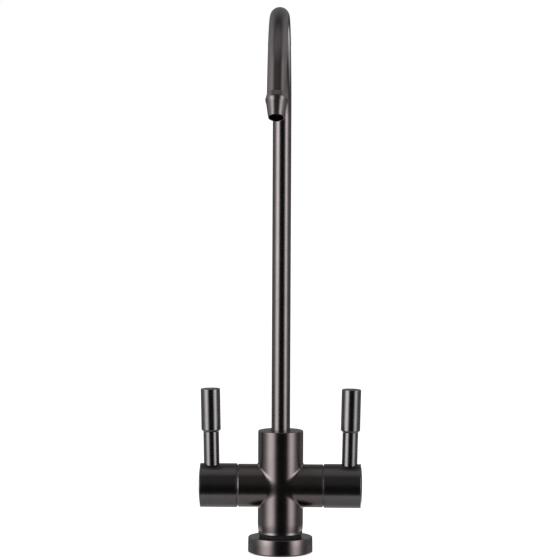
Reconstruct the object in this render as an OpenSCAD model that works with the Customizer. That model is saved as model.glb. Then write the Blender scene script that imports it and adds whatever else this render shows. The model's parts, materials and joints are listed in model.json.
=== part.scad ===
// Two-handle drinking water faucet with a swivel gooseneck spout.
// Origin: centre of the foot on the deck. +Z is up, the spout points along -Y, the arms lie along X.

/* [Spout] */
// Outside diameter of the spout tube
tube_d = 10.3; // [9.4:0.1:10.6]
// Wall of the spout tube
tube_wall = 1; // [0.8:0.1:1.4]
// Radius of the gooseneck, to the middle of the tube
neck_r = 55; // [45:1:70]
// Turn of the gooseneck, from straight up over to the outlet
neck_turn = 149; // [135:1:180]
// Straight run of the tube from the bend to the nozzle
tip_run = 15.7; // [6:0.1:30]
// Height of the top of the gooseneck above the deck
spout_h = 301.6; // [240:0.1:360]

/* [Nozzle] */
// Length of the nozzle below its collar line
nozzle_l = 13.8; // [12:0.1:18]
// Diameter of the bead below the collar line
nozzle_bead_d = 11.9; // [11.6:0.1:12.4]
// Distance of the bead from the collar line
nozzle_bead_l = 3.5; // [2:0.1:4]
// Diameter of the cone where it leaves the bead
nozzle_root_d = 11.3; // [10.8:0.1:11.5]
// Distance of the cone's upper end from the collar line
nozzle_root_l = 5.3; // [4.6:0.1:6]
// Diameter of the cone at the outlet
nozzle_tip_d = 9; // [8.6:0.1:9.6]
// Diameter of the open mouth
mouth_d = 7.8; // [7:0.1:8]
// Length of the spigot inside the tube
spigot_l = 5; // [3:0.1:7]
// Thickness of the flow straightener
straightener_t = 2.5; // [1.5:0.1:3]
// Depth of the flow straightener behind the outlet
straightener_set_back = 3; // [2:0.1:3.5]

/* [Column] */
// Diameter of the column
column_d = 25; // [24.6:0.1:27]
// Height of the top of the column above the deck
column_h = 68.3; // [64:0.1:76]
// Rounding of the column's top edge
column_top_round = 0.6; // [0.3:0.1:1]
// How far the column's foot is turned down below its side
column_foot_step = 0.2; // [0.1:0.1:0.6]
// Height of the turned-down foot
column_foot_step_h = 1.6; // [1:0.1:5]
// Rounding of the foot's lower edge
column_foot_round = 0.5; // [0.2:0.1:0.6]
// Height of the gap between the base ring and the column
foot_gap = 1.8; // [1:0.1:4]
// Diameter of the neck below the column
foot_neck_d = 22; // [21.4:0.1:22.2]
// Diameter of the rubber ring round the neck
foot_seal_d = 23.4; // [23:0.1:23.8]

/* [Arms] */
// Height of the arms' axis above the deck
arm_h = 37.5; // [34:0.5:40]
// Diameter of the arms
arm_d = 23.8; // [23:0.1:24.4]
// Distance from the column's axis to the end of an arm
arm_reach = 23.4; // [22:0.1:27]
// Bevel on each side of the seam between arm and hub
seam_bevel = 0.4; // [0.3:0.1:1]
// Width of the seam between arm and hub
seam_w = 0.6; // [0.4:0.1:1.2]

/* [Base] */
// Diameter of the base ring
base_d = 35.7; // [33:0.1:42]
// Height of the base ring's top above the deck
base_h = 9.3; // [7:0.1:12]
// Rounding of the base ring's upper edge
base_top_round = 0.6; // [0.3:0.1:1.2]
// Rounding of the base ring's lower edge
base_low_round = 0.3; // [0.2:0.1:1]
// Height of the ledge that the column's neck stands on
ledge_h = 3; // [2.5:0.1:4]
// Thickness of the base gasket
gasket_t = 1.8; // [1.5:0.1:2.4]
// How far the gasket stands out below the base ring
gasket_proud = 0.3; // [0.1:0.1:0.5]
// Inside diameter of the base gasket
gasket_in_d = 25.2; // [24.6:0.1:26]
// Outside diameter of the base gasket
gasket_out_d = 32.6; // [30:0.1:33]

/* [Shank and clamp] */
// Outside diameter of the shank
shank_d = 20; // [19.8:0.1:20.2]
// Inside diameter of the shank
shank_bore_d = 15.2; // [14.8:0.1:15.4]
// Length of the shank below the deck
shank_l = 58; // [54:1:90]
// Length of the plain stretch below the deck that centres the deck's hole
pilot_l = 16; // [10:0.5:18]
// Depth of the relief grooves at the two ends of the plain stretch
relief_depth = 0.3; // [0.2:0.05:0.5]
// Width of the lower relief groove
relief_w = 1.2; // [0.8:0.1:2]
// Pitch of the shank's thread
thread_pitch = 1.5; // [1.25:0.25:3]
// Depth of the shank's thread
thread_depth = 0.8; // [0.4:0.1:1]
// Diameter of the spigot inside the column
shank_spigot_d = 18; // [17.4:0.1:18.2]
// Length of the spigot inside the column
shank_spigot_l = 10; // [8:0.5:11]
// Thickness of the deck between gasket and rubber washer
deck_t = 20; // [19:0.5:30]
// Diameter of the rubber washer
rubber_washer_d = 34; // [30:0.5:40]
// Thickness of the rubber washer
rubber_washer_t = 2.5; // [1.5:0.1:4]
// Diameter of the steel washer
steel_washer_d = 32; // [29:0.5:38]
// Thickness of the steel washer
steel_washer_t = 1.6; // [1:0.1:2.5]
// Width of the mounting nut across its flats
nut_flats = 27; // [26:0.5:30]
// Thickness of the mounting nut
nut_t = 8; // [6:0.5:10]

/* [Inlets] */
// Outside diameter of the inlet tubes
inlet_d = 6.35; // [6:0.05:6.4]
// Wall of the inlet tubes
inlet_wall = 1; // [0.6:0.05:1.2]
// Distance of each inlet tube from the column's axis
inlet_x = 4; // [3.9:0.05:4.2]
// Length of the inlet tubes below the deck
inlet_l = 88; // [80:1:130]
// Length of each tube's end that a coupling grips
grip_end_l = 22; // [16:0.5:24]
// Depth of an inlet tube in its socket
inlet_socket_l = 11; // [8:0.5:12]

/* [Spout bearing] */
// Diameter of the socket for the spout insert
socket_d = 15.2; // [14.8:0.1:15.6]
// Depth of the socket below the top of the column
socket_l = 23; // [21.5:0.5:24]
// Diameter of the gland ring
gland_d = 18; // [17.4:0.1:19]
// Thickness of the gland ring
gland_t = 5; // [4:0.1:6]
// Gap between the riser and the gland ring, all round
gland_gap = 0.5; // [0.2:0.1:0.8]
// Thickness of the spout bush
bush_t = 2.8; // [2:0.1:4]
// Thickness of the thrust washer under the spout insert
thrust_t = 1.8; // [1:0.1:2]
// Thickness of the O-rings on the spout insert
spout_seal_t = 1.6; // [1.4:0.1:1.8]

/* [Cartridges] */
// Diameter of the cartridge socket in each arm
cartridge_d = 18.6; // [18:0.1:18.8]
// Depth of the cartridge socket
cartridge_l = 10.9; // [10.6:0.1:11.4]
// Inside diameter of the cartridge round its discs
disc_bore_d = 16; // [15.8:0.1:16.4]
// Thickness of each ceramic disc
disc_t = 2.5; // [2:0.1:2.6]
// Thickness of the rubber face seal
face_seal_t = 1.5; // [1.2:0.1:1.8]
// Diameter of the water ways
port_d = 4.2; // [3.6:0.1:4.6]
// Distance of each port from the arm's axis
port_r = 4.5; // [4:0.1:4.8]
// Diameter of the spindle
spindle_d = 8; // [7.6:0.1:8.2]
// Width of the spindle's square drive across its flats
drive_flats = 6.4; // [6:0.1:6.6]
// Thickness of the O-rings on the spindle
spindle_seal_t = 1; // [0.8:0.1:1.2]
// Thickness of the O-ring between cartridge and arm
cartridge_seal_t = 0.7; // [0.6:0.1:0.8]
// Thickness of the shoulder that holds the spindle in the cartridge
shoulder_t = 0.8; // [0.6:0.1:1]
// Thickness of the cartridge's flange on the end of the arm
cartridge_flange_t = 1.8; // [1.4:0.1:2]
// Height of the cartridge's wrench flats
wrench_t = 2.8; // [2:0.1:3]
// Height of the round collar past the wrench flats
collar_t = 2; // [1.5:0.1:2.2]
// Height of the stop block and of the stop washer's tab
tab_t = 1.3; // [1:0.1:1.5]
// Thickness of the stop washer
stop_t = 1.1; // [0.8:0.1:1.3]
// Depth of the recess in the turning disc
recess_depth = 1.5; // [1:0.1:1.7]
// Width of the spindle's tongue in the turning disc
tongue_w = 3.8; // [3.4:0.1:4.2]
// Depth of the spindle's tongue in the turning disc
tongue_h = 0.9; // [0.6:0.05:1]
// Angle of the stop washer's tab
tab_angle = 140; // [120:1:150]
// Turn of each handle from shut to open
handle_turn = 90; // [80:1:95]
// Play left at each stop
stop_play = 4; // [3:0.5:6]

/* [Hubs] */
// Diameter of the hubs
hub_d = 24.3; // [23.6:0.1:25]
// Length of the hubs, without the dome
hub_l = 20.5; // [20.2:0.1:24]
// Rounding of the rim round the hub cap
hub_rim_round = 0.3; // [0.2:0.1:0.6]
// Wall of the hub round the cartridge
hub_wall = 1.7; // [1.2:0.1:1.8]
// Diameter of the hub cap
cap_d = 21; // [19:0.1:21.4]
// Thickness of the hub cap, without the dome
cap_t = 1.55; // [1:0.05:1.6]
// Height of the dome on the hub cap
cap_dome = 0.7; // [0.2:0.1:1]
// Diameter of the handle screw's thread
screw_d = 4; // [3:0.5:4]
// Diameter of the handle screw's head
screw_head_d = 7; // [6:0.1:7.2]
// Height of the handle screw's head
screw_head_t = 2.4; // [1.8:0.1:2.5]
// Width of the handle screw's hexagon socket across its flats
screw_socket = 3; // [2:0.5:3]

/* [Levers] */
// Distance of the lever's axis from the inner end of the hub
lever_x = 13.9; // [13.5:0.05:13.95]
// Lean of the lever, outwards
lever_lean = 1.2; // [0:0.1:3]
// Diameter of the lever rod
rod_d = 8.6; // [7.5:0.1:8.7]
// Length of a lever from the arm's axis to its tip
lever_l = 53.8; // [46:0.1:80]
// Diameter of the lever grip
grip_d = 10.7; // [9.5:0.1:14]
// Length of the lever grip
grip_l = 23.9; // [18:0.1:30]
// Rounding of the grip's upper edge
grip_top_round = 0.8; // [0.3:0.1:2]
// Rounding of the grip's lower edge
grip_low_round = 1.4; // [0.3:0.1:2]
// Gap round the rod where it enters the hub
rod_gap = 0.5; // [0.2:0.1:0.6]
// Depth of the recess round the rod
rod_recess = 1.2; // [0.6:0.1:1.4]
// Diameter of the threaded end of the rod in the hub
rod_foot_d = 6; // [5:0.1:6.4]
// Diameter of the threaded end of the rod in the grip
rod_head_d = 5.2; // [4:0.1:6]
// Length of the threaded end of the rod in the grip
rod_head_l = 12; // [8:0.5:14]

/* [Clearances] */
// Radial gap between pieces that are screwed, pressed or brazed together
seat_gap = 0.05; // [0.03:0.01:0.08]
// Radial gap between pieces that turn in each other
turn_gap = 0.06; // [0.04:0.01:0.1]
// Gap along an axis between pieces that turn against each other
face_gap = 0.1; // [0.08:0.01:0.2]
// Radial gap between the shank and the washers that slip over it
slip_gap = 0.3; // [0.2:0.05:0.5]
// Radial gap round the discs and the spindle's flange
play_gap = 0.2; // [0.15:0.01:0.25]
// Gap along the arm at ends that never meet
end_gap = 0.3; // [0.2:0.05:0.4]

/* [Hidden] */
$fn = 96;
fine = 360;
cut = 1;

// Heights on the column, from the deck up
column_foot_z = base_h + foot_gap;
column_side_z = column_foot_z + column_foot_step_h;
shank_top_z = ledge_h + shank_spigot_l;
inlet_top_z = shank_top_z + inlet_socket_l;
socket_z = column_h - socket_l;
gland_z = column_h - gland_t;
bush_z = gland_z - bush_t;
insert_z = socket_z + thrust_t + face_gap;
insert_top_z = bush_z - face_gap;
insert_step = 3;
tube_foot_z = insert_z + insert_step;
bend_z = spout_h - tube_d / 2 - neck_r;

// Places on an arm, from the column's axis outwards
seat_x = arm_reach - cartridge_l;
seat_disc_x = seat_x + face_seal_t;
rotor_x = seat_disc_x + disc_t + seat_gap;
flange_x = rotor_x + disc_t + face_gap;
shoulder_x = arm_reach - shoulder_t;
cartridge_groove_x = (seat_disc_x + disc_t + shoulder_x) / 2;
spindle_washer_t = 0.5;
flange_end_x = shoulder_x - spindle_washer_t - face_gap;
wrench_x = arm_reach + cartridge_flange_t;
wrench_end_x = wrench_x + wrench_t;
collar_end_x = wrench_end_x + collar_t;
tab_x = collar_end_x + end_gap;
stop_x = tab_x + tab_t;
spindle_step_x = stop_x - end_gap;
hub_x = arm_reach + seam_w;
hub_end_x = hub_x + hub_l;
web_x = stop_x + stop_t + end_gap;
cap_x = hub_end_x - cap_t;
head_x = cap_x - screw_head_t - end_gap;
screw_web_t = 1.8;
drive_end_x = head_x - screw_web_t;
screw_grip = 7;
lever_seat_z = hub_d / 2 - rod_recess;
lever_foot_z = spindle_d / 2 + 1.2;
grip_z = lever_l - grip_l;

port_low_z = arm_h - port_r;
port_high_z = arm_h + port_r;

disc_d = disc_bore_d - 2 * play_gap;
key_w = 3;
key_d = disc_bore_d + 1;
flange_r = disc_bore_d / 2 - 2 * play_gap;
collar_r = 6.8;
block_angle = 360 - tab_angle - handle_turn - 2 * stop_play;

// Half section of a turned piece with rounded outer corners
module turned_section(r, low, high, low_round = 0, high_round = 0) {
    difference() {
        translate([0, low])
            square([r, high - low]);
        if (low_round > 0)
            corner(r, low, low_round, 1);
        if (high_round > 0)
            corner(r, high, high_round, -1);
    }
}

// The bit outside the arc at the corner of a half section; up is 1 for a lower corner and -1 for an upper one
module corner(r, z, round, up) {
    translate([r, z])
        scale([1, up])
            difference() {
                translate([-round, -cut])
                    square([round + cut, round + cut]);
                translate([-round, round])
                    circle(r = round);
            }
}

// A ring of square section along Z
module collar(outer_r, inner_r, low, high) {
    translate([0, 0, low])
        difference() {
            cylinder(r = outer_r, h = high - low);
            translate([0, 0, -cut])
                cylinder(r = inner_r, h = high - low + 2 * cut);
        }
}

// A ring of round section along Z
module o_ring(middle_r, thickness, z) {
    translate([0, 0, z])
        rotate_extrude()
            translate([middle_r, 0])
                circle(d = thickness, $fn = 32);
}

module bore(r, low, high) {
    translate([0, 0, low])
        cylinder(r = r, h = high - low);
}

// Turns a piece made along Z into the right arm's direction, so that its Z is the distance from the column
module along_arm() {
    translate([0, 0, arm_h])
        rotate([0, 90, 0])
            children();
}

module on_right() {
    children();
}

module on_left() {
    mirror([1, 0, 0])
        children();
}

// The end of the gooseneck, with Z along the flow
module at_tip() {
    translate([0, -neck_r, bend_z])
        rotate([neck_turn, 0, 0])
            translate([0, neck_r, 0])
                children();
}

// Lever's own frame: Z runs up the lever from the arm's axis
module at_lever() {
    translate([hub_x + lever_x, 0, arm_h])
        rotate([0, lever_lean, 0])
            children();
}

bronze = "#3d3438";
brass = "#b9975b";
steel = "#a9adb2";
rubber = "#1c1c1e";
acetal = "#e6e3da";
ceramic = "#f1efe9";

module valve_body() {
    color(bronze)
        difference() {
            union() {
                rotate_extrude() {
                    turned_section(column_d / 2, column_side_z, column_h, high_round = column_top_round);
                    turned_section(
                        column_d / 2 - column_foot_step, column_foot_z, column_side_z + cut,
                        low_round = column_foot_round
                    );
                }
                bore(foot_neck_d / 2, ledge_h, column_foot_z + cut);
                arms();
            }
            bore(gland_d / 2 + seat_gap, gland_z, column_h + cut);
            bore(socket_d / 2, socket_z, column_h + cut);
            bore(tube_d / 2 - tube_wall, port_high_z, socket_z + cut);
            bore(shank_spigot_d / 2 + seat_gap, ledge_h - cut, shank_top_z);
            for (side = [-1, 1])
                translate([side * inlet_x, 0, 0]) {
                    bore(inlet_d / 2 + seat_gap, shank_top_z - cut, inlet_top_z);
                    bore(port_d / 2, inlet_top_z - cut, port_low_z);
                }
            on_right() arm_bores();
            on_left() arm_bores();
        }
}

module arms() {
    arm_r = arm_d / 2;
    translate([0, 0, arm_h])
        rotate([0, 90, 0])
            rotate_extrude()
                polygon([
                    [0, -arm_reach],
                    [arm_r - seam_bevel, -arm_reach],
                    [arm_r, seam_bevel - arm_reach],
                    [arm_r, arm_reach - seam_bevel],
                    [arm_r - seam_bevel, arm_reach],
                    [0, arm_reach]
                ]);
}

// Cartridge socket and the two water ways behind its floor
module arm_bores() {
    along_arm() {
        bore(cartridge_d / 2, seat_x, arm_reach + cut);
        translate([port_r, 0, 0])
            bore(port_d / 2, inlet_x, seat_x + cut);
        translate([-port_r, 0, 0])
            bore(port_d / 2, 0, seat_x + cut);
    }
}

module gland_ring() {
    spanner_hole_d = 1.4;
    spanner_hole_r = (gland_d / 2 + tube_d / 2 + gland_gap) / 2;
    color(bronze)
        difference() {
            collar(gland_d / 2, tube_d / 2 + gland_gap, gland_z, column_h);
            for (angle = [90, 270])
                rotate([0, 0, angle])
                    translate([spanner_hole_r, 0, column_h - 2])
                        cylinder(d = spanner_hole_d, h = 2 + cut, $fn = 24);
        }
}

module spout_bush() {
    color(acetal)
        collar(socket_d / 2 - seat_gap, tube_d / 2 + turn_gap, bush_z, gland_z);
}

module spout_thrust_washer() {
    color(acetal)
        collar(socket_d / 2 - seat_gap, tube_d / 2 - tube_wall + 0.5, socket_z, socket_z + thrust_t);
}

// Section of the tube, with sink taken off inside and outside
module tube_section(sink = 0) {
    difference() {
        circle(d = tube_d - 2 * sink);
        circle(d = tube_d - 2 * tube_wall + 2 * sink);
    }
}

// The straight run at the tip reaches a little way into the bend, a hundredth under its size
module spout_tube() {
    tip_lap = 0.3;
    tip_sink = 0.01;
    color(bronze)
        union() {
            translate([0, 0, tube_foot_z])
                linear_extrude(bend_z - tube_foot_z)
                    tube_section();
            translate([0, -neck_r, bend_z])
                rotate([90, 0, 90])
                    rotate_extrude(angle = neck_turn, $fn = fine)
                        translate([neck_r, 0])
                            tube_section();
            at_tip()
                translate([0, 0, -tip_lap])
                    linear_extrude(tip_run + tip_lap)
                        tube_section(tip_sink);
        }
}

module spout_nozzle() {
    spigot_r = tube_d / 2 - tube_wall - seat_gap;
    seat_t = nozzle_l - straightener_set_back - straightener_t;
    color(bronze)
        at_tip()
            translate([0, 0, tip_run])
                rotate_extrude()
                    difference() {
                        union() {
                            polygon([
                                [0, 0],
                                [tube_d / 2, 0],
                                [nozzle_bead_d / 2, nozzle_bead_l],
                                [nozzle_root_d / 2, nozzle_root_l],
                                [nozzle_tip_d / 2, nozzle_l],
                                [0, nozzle_l]
                            ]);
                            translate([0, -spigot_l])
                                square([spigot_r, spigot_l + cut]);
                        }
                        translate([-cut, -spigot_l - cut])
                            square([spigot_r - 0.8 + cut, nozzle_l + spigot_l + 2 * cut]);
                        translate([-cut, seat_t])
                            square([mouth_d / 2 + cut, nozzle_l]);
                    }
}

// Rim, hub and six vanes that calm the stream
module flow_straightener() {
    vane_w = 0.5;
    rim_w = 0.6;
    outer_r = mouth_d / 2 - seat_gap;
    color(rubber)
        at_tip()
            translate([0, 0, tip_run + nozzle_l - straightener_set_back - straightener_t])
                linear_extrude(straightener_t) {
                    difference() {
                        circle(r = outer_r);
                        circle(r = outer_r - rim_w);
                    }
                    circle(r = 0.9);
                    for (turn = [0:60:120])
                        rotate(turn)
                            square([2 * outer_r - rim_w, vane_w], center = true);
                }
}

function insert_groove_z(i) = insert_z + (insert_top_z - insert_z) * (i == 0 ? 0.3 : 0.72);

module spout_insert() {
    insert_r = socket_d / 2 - 0.3;
    groove_r = socket_d / 2 - turn_gap - spout_seal_t - seat_gap;
    color(brass)
        difference() {
            collar(insert_r, tube_d / 2 - tube_wall, insert_z, insert_top_z);
            bore(tube_d / 2 + seat_gap, tube_foot_z, insert_top_z + cut);
            for (i = [0, 1])
                collar(
                    insert_r + cut, groove_r,
                    insert_groove_z(i) - 0.7 * spout_seal_t,
                    insert_groove_z(i) + 0.7 * spout_seal_t
                );
        }
}

module spout_o_rings() {
    color(rubber)
        for (i = [0, 1])
            o_ring(socket_d / 2 - turn_gap - spout_seal_t / 2, spout_seal_t, insert_groove_z(i));
}

module base_ring() {
    color(bronze)
        difference() {
            rotate_extrude()
                turned_section(base_d / 2, gasket_proud, base_h, base_low_round, base_top_round);
            bore(foot_neck_d / 2 + seat_gap, ledge_h, base_h + cut);
            bore(shank_d / 2 + slip_gap, -cut, ledge_h + cut);
            collar(gasket_out_d / 2 + seat_gap, gasket_in_d / 2 - seat_gap, -cut, gasket_t);
        }
}

module base_gasket() {
    color(rubber)
        collar(gasket_out_d / 2, gasket_in_d / 2, 0, gasket_t);
}

// Dark ring that fills the gap between base ring and column
module foot_seal() {
    color(rubber)
        collar(foot_seal_d / 2, foot_neck_d / 2 + seat_gap, base_h, column_foot_z);
}

// The thread is a row of turned ridges, which the nut's plain bore clears
module mounting_shank() {
    thread_r = shank_d / 2 - seat_gap;
    relief_r = shank_d / 2 - relief_depth;
    thread_top_z = -pilot_l - relief_w;
    end_bevel = 1;
    ridges = floor((shank_l - end_bevel + thread_top_z) / thread_pitch);
    color(brass)
        rotate_extrude()
            difference() {
                polygon([
                    [0, shank_top_z],
                    [shank_spigot_d / 2, shank_top_z],
                    [shank_spigot_d / 2, ledge_h],
                    [relief_r, ledge_h],
                    [relief_r, 0],
                    [shank_d / 2, 0],
                    [shank_d / 2, -pilot_l],
                    [relief_r, -pilot_l],
                    [relief_r, thread_top_z],
                    for (i = [0:ridges - 1]) each [
                        [thread_r, thread_top_z - i * thread_pitch],
                        [thread_r - thread_depth, thread_top_z - (i + 0.5) * thread_pitch]
                    ],
                    [thread_r, thread_top_z - ridges * thread_pitch],
                    [thread_r, end_bevel - shank_l],
                    [thread_r - end_bevel, -shank_l],
                    [0, -shank_l]
                ]);
                translate([-cut, -shank_l - cut])
                    square([shank_bore_d / 2 + cut, shank_l + shank_top_z + 2 * cut]);
            }
}

module deck_rubber_washer() {
    color(rubber)
        collar(rubber_washer_d / 2, shank_d / 2 + slip_gap, -deck_t - rubber_washer_t, -deck_t);
}

module steel_washer() {
    washer_top = -deck_t - rubber_washer_t;
    color(steel)
        collar(steel_washer_d / 2, shank_d / 2 + slip_gap, washer_top - steel_washer_t, washer_top);
}

module mounting_nut() {
    nut_top = -deck_t - rubber_washer_t - steel_washer_t;
    corner_r = nut_flats / sqrt(3);
    color(brass)
        difference() {
            intersection() {
                translate([0, 0, nut_top - nut_t])
                    cylinder(r = corner_r, h = nut_t, $fn = 6);
                rotate_extrude()
                    polygon([
                        [0, nut_top - nut_t],
                        [nut_flats / 2 - 0.2, nut_top - nut_t],
                        [corner_r + 0.2, nut_top - nut_t + 1.4],
                        [corner_r + 0.2, nut_top - 1.4],
                        [nut_flats / 2 - 0.2, nut_top],
                        [0, nut_top]
                    ]);
            }
            bore(shank_d / 2 + turn_gap, nut_top - nut_t - cut, nut_top + cut);
        }
}

module inlet_tube() {
    groove_w = 0.8;
    groove_z = grip_end_l - inlet_l;
    end_bevel = 0.4;
    outer_r = inlet_d / 2;
    color(brass)
        translate([inlet_x, 0, 0])
            rotate_extrude()
                difference() {
                    polygon([
                        [0, inlet_top_z],
                        [outer_r, inlet_top_z],
                        [outer_r, groove_z + groove_w],
                        [outer_r - 0.2, groove_z + groove_w],
                        [outer_r - 0.2, groove_z],
                        [outer_r, groove_z],
                        [outer_r, end_bevel - inlet_l],
                        [outer_r - end_bevel, -inlet_l],
                        [0, -inlet_l]
                    ]);
                    translate([-cut, -inlet_l - cut])
                        square([outer_r - inlet_wall + cut, inlet_l + inlet_top_z + 2 * cut]);
                }
}

// Brass shell with its flange, wrench flats, spindle bearing and stop block
module cartridge_body() {
    body_r = cartridge_d / 2 - seat_gap;
    body_x = seat_x + 0.5;
    flange_outer_r = hub_d / 2 - hub_wall - 0.4;
    wrench_r = flange_outer_r - 0.6;
    groove_r = cartridge_d / 2 - turn_gap - cartridge_seal_t - seat_gap;
    groove_w = 1.4 * cartridge_seal_t;
    color(brass)
        along_arm()
            difference() {
                union() {
                    bore(body_r, body_x, arm_reach + cut);
                    bore(flange_outer_r, arm_reach, wrench_x);
                    translate([0, 0, wrench_x - cut])
                        cylinder(r = wrench_r, h = wrench_end_x - wrench_x + cut, $fn = 6);
                    bore(collar_r, wrench_x, collar_end_x);
                    stop_sector(45 - block_angle / 2, block_angle, collar_end_x - cut, spindle_step_x);
                }
                bore(disc_bore_d / 2, body_x - cut, shoulder_x);
                bore(spindle_d / 2 + turn_gap, shoulder_x - cut, stop_x);
                key(seat_gap, body_x - cut, seat_disc_x + disc_t);
                collar(
                    body_r + cut, groove_r,
                    cartridge_groove_x - groove_w / 2, cartridge_groove_x + groove_w / 2
                );
            }
}

// The two ears that stop the fixed disc from turning; grow is added all round
module key(grow, low, high) {
    intersection() {
        bore(key_d / 2 + grow, low, high);
        translate([0, 0, (low + high) / 2])
            cube([key_w + 2 * grow, key_d + cut, high - low], center = true);
    }
}

// A sector of a ring round the spindle, for the stops
module stop_sector(start, angle, low, high) {
    inner_r = spindle_d / 2 + 0.9;
    outer_r = collar_r - 0.2;
    translate([0, 0, low])
        rotate([0, 0, start])
            rotate_extrude(angle = angle)
                translate([inner_r, 0])
                    square([outer_r - inner_r, high - low]);
}

module cartridge_o_ring() {
    middle_r = cartridge_d / 2 - turn_gap - cartridge_seal_t / 2;
    color(rubber)
        along_arm()
            o_ring(middle_r, cartridge_seal_t, cartridge_groove_x);
}

module seat_seal() {
    color(rubber)
        along_arm()
            difference() {
                bore(disc_d / 2, seat_x, seat_disc_x);
                ports(port_d / 2 + 0.2, seat_x - cut, seat_disc_x + cut);
            }
}

module seat_disc() {
    color(ceramic)
        along_arm()
            difference() {
                union() {
                    bore(disc_d / 2, seat_disc_x, seat_disc_x + disc_t);
                    key(0, seat_disc_x, seat_disc_x + disc_t);
                }
                ports(port_d / 2 + 0.1, seat_disc_x - cut, seat_disc_x + disc_t + cut);
            }
}

module ports(r, low, high) {
    for (side = [-1, 1])
        translate([side * port_r, 0, 0])
            bore(r, low, high);
}

// Turning disc: the recess in its inner face joins the two ports after a quarter turn
module rotor_disc() {
    slot_r = port_d / 2 + 0.1;
    color(ceramic)
        along_arm()
            difference() {
                bore(disc_d / 2, rotor_x, rotor_x + disc_t);
                translate([0, 0, rotor_x - cut])
                    linear_extrude(recess_depth + cut)
                        union() {
                            square([2 * slot_r, 2 * port_r], center = true);
                            for (side = [-1, 1])
                                translate([0, side * port_r])
                                    circle(r = slot_r);
                        }
                translate([0, 0, rotor_x + disc_t])
                    cube([tongue_w + 2 * seat_gap, disc_d + cut, 2 * tongue_h + 2 * seat_gap], center = true);
            }
}

module spindle() {
    groove_r = spindle_d / 2 - spindle_seal_t - seat_gap;
    color(brass)
        along_arm()
            difference() {
                union() {
                    bore(flange_r, flange_x, flange_end_x);
                    bore(spindle_d / 2, flange_end_x - cut, spindle_step_x);
                    intersection() {
                        bore(flange_r, flange_x - tongue_h, flange_x + cut);
                        translate([0, 0, flange_x])
                            cube([tongue_w, 2 * flange_r + cut, 2 * tongue_h], center = true);
                    }
                    drive(0, spindle_step_x - cut, drive_end_x);
                }
                for (i = [0, 1])
                    collar(
                        spindle_d / 2 + cut, groove_r,
                        spindle_groove_x(i) - 0.7 * spindle_seal_t,
                        spindle_groove_x(i) + 0.7 * spindle_seal_t
                    );
                bore(screw_d / 2 + seat_gap, drive_end_x - screw_grip - 1, drive_end_x + cut);
            }
}

function spindle_groove_x(i) = shoulder_x + (collar_end_x - shoulder_x) * (i == 0 ? 0.3 : 0.65);

// The square drive with its corners turned off; grow is added all round
module drive(grow, low, high) {
    intersection() {
        bore(spindle_d / 2 + grow, low, high);
        translate([0, 0, (low + high) / 2])
            cube([drive_flats + 2 * grow, drive_flats + 2 * grow, high - low], center = true);
    }
}

module spindle_o_rings() {
    color(rubber)
        along_arm()
            for (i = [0, 1])
                o_ring(spindle_d / 2 - spindle_seal_t / 2, spindle_seal_t, spindle_groove_x(i));
}

module spindle_washer() {
    color(acetal)
        along_arm()
            collar(flange_r, spindle_d / 2 + seat_gap, flange_end_x, flange_end_x + spindle_washer_t);
}

module stop_washer() {
    color(steel)
        along_arm()
            difference() {
                union() {
                    bore(collar_r, stop_x, stop_x + stop_t);
                    stop_sector(180 - tab_angle / 2, tab_angle, tab_x, stop_x + stop_t / 2);
                }
                drive(seat_gap, tab_x - cut, stop_x + stop_t + cut);
            }
}

module glide_ring() {
    color(bronze)
        along_arm()
            collar(
                arm_d / 2 - seam_bevel - 0.1,
                hub_d / 2 - hub_wall - 0.3,
                arm_reach, hub_x - face_gap
            );
}

module hub() {
    outer_r = hub_d / 2;
    color(bronze)
        difference() {
            along_arm()
                difference() {
                    rotate_extrude()
                        difference() {
                            turned_section(outer_r, hub_x, hub_end_x, high_round = hub_rim_round);
                            polygon([
                                [outer_r - seam_bevel, hub_x - cut],
                                [outer_r - seam_bevel, hub_x],
                                [outer_r, hub_x + seam_bevel],
                                [outer_r + cut, hub_x + seam_bevel],
                                [outer_r + cut, hub_x - cut]
                            ]);
                        }
                    bore(outer_r - hub_wall, hub_x - cut, web_x);
                    drive(seat_gap, web_x - cut, drive_end_x + 0.2);
                    bore(screw_d / 2 + 0.2, web_x, cap_x);
                    bore(screw_head_d / 2 + 0.2, head_x, cap_x + cut);
                    bore(cap_d / 2 + seat_gap, cap_x, hub_end_x + cut);
                }
            at_lever() {
                bore(rod_foot_d / 2 + seat_gap, lever_foot_z, outer_r + cut);
                bore(rod_d / 2 + rod_gap, lever_seat_z, outer_r + cut);
            }
        }
}

module hub_cap() {
    cap_r = cap_d / 2;
    dome_r = (cap_r * cap_r + cap_dome * cap_dome) / (2 * cap_dome);
    color(bronze)
        along_arm()
            rotate_extrude()
                union() {
                    translate([0, cap_x])
                        square([cap_r, cap_t]);
                    intersection() {
                        translate([0, hub_end_x + cap_dome - dome_r])
                            circle(r = dome_r, $fn = 8 * fine);
                        translate([0, hub_end_x - cap_t / 2])
                            square([cap_r, cap_t]);
                    }
                }
}

module handle_screw() {
    color(steel)
        along_arm()
            difference() {
                union() {
                    bore(screw_d / 2, drive_end_x - screw_grip, head_x + cut);
                    bore(screw_head_d / 2, head_x, head_x + screw_head_t);
                }
                translate([0, 0, head_x + screw_head_t / 2])
                    cylinder(r = screw_socket / sqrt(3), h = screw_head_t, $fn = 6);
            }
}

module lever_rod() {
    color(bronze)
        at_lever() {
            bore(rod_foot_d / 2, lever_foot_z, lever_seat_z + cut);
            bore(rod_d / 2, lever_seat_z, grip_z);
            bore(rod_head_d / 2, grip_z - cut, grip_z + rod_head_l);
        }
}

module lever_grip() {
    color(bronze)
        at_lever()
            difference() {
                rotate_extrude()
                    turned_section(grip_d / 2, grip_z, lever_l, grip_low_round, grip_top_round);
                bore(rod_head_d / 2 + seat_gap, grip_z - cut, grip_z + rod_head_l + 0.5);
            }
}

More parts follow.
